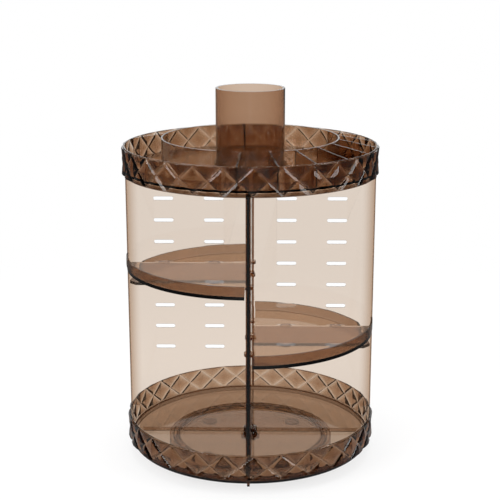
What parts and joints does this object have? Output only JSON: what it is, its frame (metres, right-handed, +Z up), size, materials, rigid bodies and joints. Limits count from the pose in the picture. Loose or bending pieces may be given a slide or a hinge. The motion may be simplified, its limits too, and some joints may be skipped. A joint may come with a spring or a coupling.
{
  "type": "rotating makeup organizer",
  "caption": "Round rotating makeup organizer: faceted top and bottom trays, slotted panel and divider, lift-out quarter trays, a brush cup on top and a ball turntable below.",
  "frame": {"origin": "on the table, at the bottom centre of the bounding box, under the axis of rotation", "axes": "+Z up along the axis of rotation; -Y to the front, the side from which the divider's front edge and the panel's slots are seen; +X to the right"},
  "size_m": [0.2326, 0.2326, 0.3412],
  "materials": {
    "base_plastic": "clear gloss, faint smoke tint",
    "foot_rubber": "matte, pale smoke tint",
    "cage_plastic": "satin",
    "ball_steel": "polished",
    "race_plastic": "clear gloss, faint smoke tint",
    "screw_steel": "satin",
    "washer_plastic": "satin",
    "smoke_tray": "clear gloss, smoke brown tint",
    "clear_panel": "clear gloss, faint beige tint",
    "smoke_divider": "clear gloss, smoke brown tint",
    "smoke_shelf": "clear gloss, smoke brown tint",
    "smoke_top": "clear gloss, smoke brown tint",
    "smoke_insert": "clear gloss, smoke brown tint",
    "smoke_cup": "clear gloss, smoke brown tint"
  },
  "bodies": {
    "base": {"base_plate": "base_plastic", "rubber_foot_1": "foot_rubber", "rubber_foot_2": "foot_rubber", "rubber_foot_3": "foot_rubber", "rubber_foot_4": "foot_rubber"},
    "ball_ring": {"ball_cage": "cage_plastic", "bearing_balls": "ball_steel"},
    "carousel": {"upper_race": "race_plastic", "pivot_screw": "screw_steel", "pivot_washer": "washer_plastic", "bottom_tray": "smoke_tray", "slotted_panel": "clear_panel", "divider_plate": "smoke_divider", "top_tray": "smoke_top", "organizer_insert": "smoke_insert"},
    "front_left_shelf": {"front_left_tray": "smoke_shelf"},
    "rear_left_shelf": {"rear_left_tray": "smoke_shelf"},
    "front_right_shelf": {"front_right_tray": "smoke_shelf"},
    "rear_right_shelf": {"rear_right_tray": "smoke_shelf"},
    "cup": {"brush_cup": "smoke_cup"}
  },
  "joints": [
    {"name": "turntable_spin", "type": "hinge", "parent": "base", "child": "carousel", "pos_m": [0, 0, 0], "axis": [0, 0, 1], "continuous": true},
    {"name": "ball_ring_spin", "type": "hinge", "parent": "base", "child": "ball_ring", "pos_m": [0, 0, 0], "axis": [0, 0, 1], "continuous": true},
    {"name": "front_left_tray_pull", "type": "slide", "parent": "carousel", "child": "front_left_shelf", "axis": [-0.7071, -0.7071, 0], "range_m": [0, 0.13]},
    {"name": "rear_left_tray_pull", "type": "slide", "parent": "carousel", "child": "rear_left_shelf", "axis": [-0.7071, 0.7071, 0], "range_m": [0, 0.13]},
    {"name": "front_right_tray_pull", "type": "slide", "parent": "carousel", "child": "front_right_shelf", "axis": [0.7071, -0.7071, 0], "range_m": [0, 0.13]},
    {"name": "rear_right_tray_pull", "type": "slide", "parent": "carousel", "child": "rear_right_shelf", "axis": [0.7071, 0.7071, 0], "range_m": [0, 0.13]},
    {"name": "cup_lift", "type": "slide", "parent": "carousel", "child": "cup", "axis": [0, 0, 1], "range_m": [0, 0.08]}
  ],
  "couplings": [
    {"joint": "ball_ring_spin", "follows": "turntable_spin", "ratio": 0.5}
  ]
}
